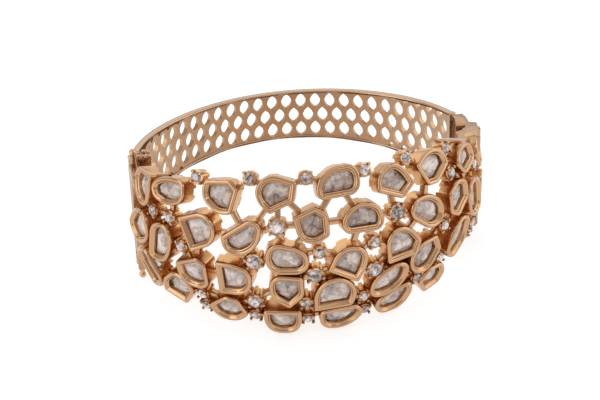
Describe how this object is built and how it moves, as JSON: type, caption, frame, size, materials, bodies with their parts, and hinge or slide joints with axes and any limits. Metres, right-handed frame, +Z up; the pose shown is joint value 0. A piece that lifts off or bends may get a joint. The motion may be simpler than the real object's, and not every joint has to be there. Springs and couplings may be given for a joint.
{
  "type": "kundan bracelet",
  "caption": "Openable hinged bangle with a wide domed openwork front of bezel-set flat stones and small prong-set round stones, and a narrow pierced back band.",
  "frame": {"origin": "on the surface that the bangle lies on, under the middle of its bounding box", "axes": "+Z up, nearly along the bangle's axis; +X from the hinge to the clasp; -Y towards the domed front"},
  "size_m": [0.0649, 0.0572, 0.0316],
  "materials": {
    "front_gold": "polished rose gold",
    "band_gold": "polished rose gold",
    "pin_gold": "polished rose gold",
    "flat_stone": "clear, foil-backed look",
    "round_stone": "clear, cut"
  },
  "bodies": {
    "front": {"front_frame": "front_gold", "hinge_pin": "pin_gold", "small_stones": "round_stone", "polki_01": "flat_stone", "polki_02": "flat_stone", "polki_03": "flat_stone", "polki_04": "flat_stone", "polki_05": "flat_stone", "polki_06": "flat_stone", "polki_07": "flat_stone", "polki_08": "flat_stone", "polki_09": "flat_stone", "polki_10": "flat_stone", "polki_11": "flat_stone", "polki_12": "flat_stone", "polki_13": "flat_stone", "polki_14": "flat_stone", "polki_15": "flat_stone", "polki_16": "flat_stone", "polki_17": "flat_stone", "polki_18": "flat_stone", "polki_19": "flat_stone", "polki_20": "flat_stone", "polki_21": "flat_stone", "polki_22": "flat_stone", "polki_23": "flat_stone", "polki_24": "flat_stone", "polki_25": "flat_stone", "polki_26": "flat_stone", "polki_27": "flat_stone", "polki_28": "flat_stone", "polki_29": "flat_stone", "polki_30": "flat_stone", "polki_31": "flat_stone", "polki_32": "flat_stone", "polki_33": "flat_stone", "polki_34": "flat_stone", "polki_35": "flat_stone", "polki_36": "flat_stone", "polki_37": "flat_stone"},
    "band": {"back_band": "band_gold"}
  },
  "joints": [
    {"name": "band_hinge", "type": "hinge", "parent": "front", "child": "band", "pos_m": [-0.03042, -0.00042, 0.01459], "axis": [0.0504, 0.079, 0.9956], "range_deg": [0, 65]}
  ]
}
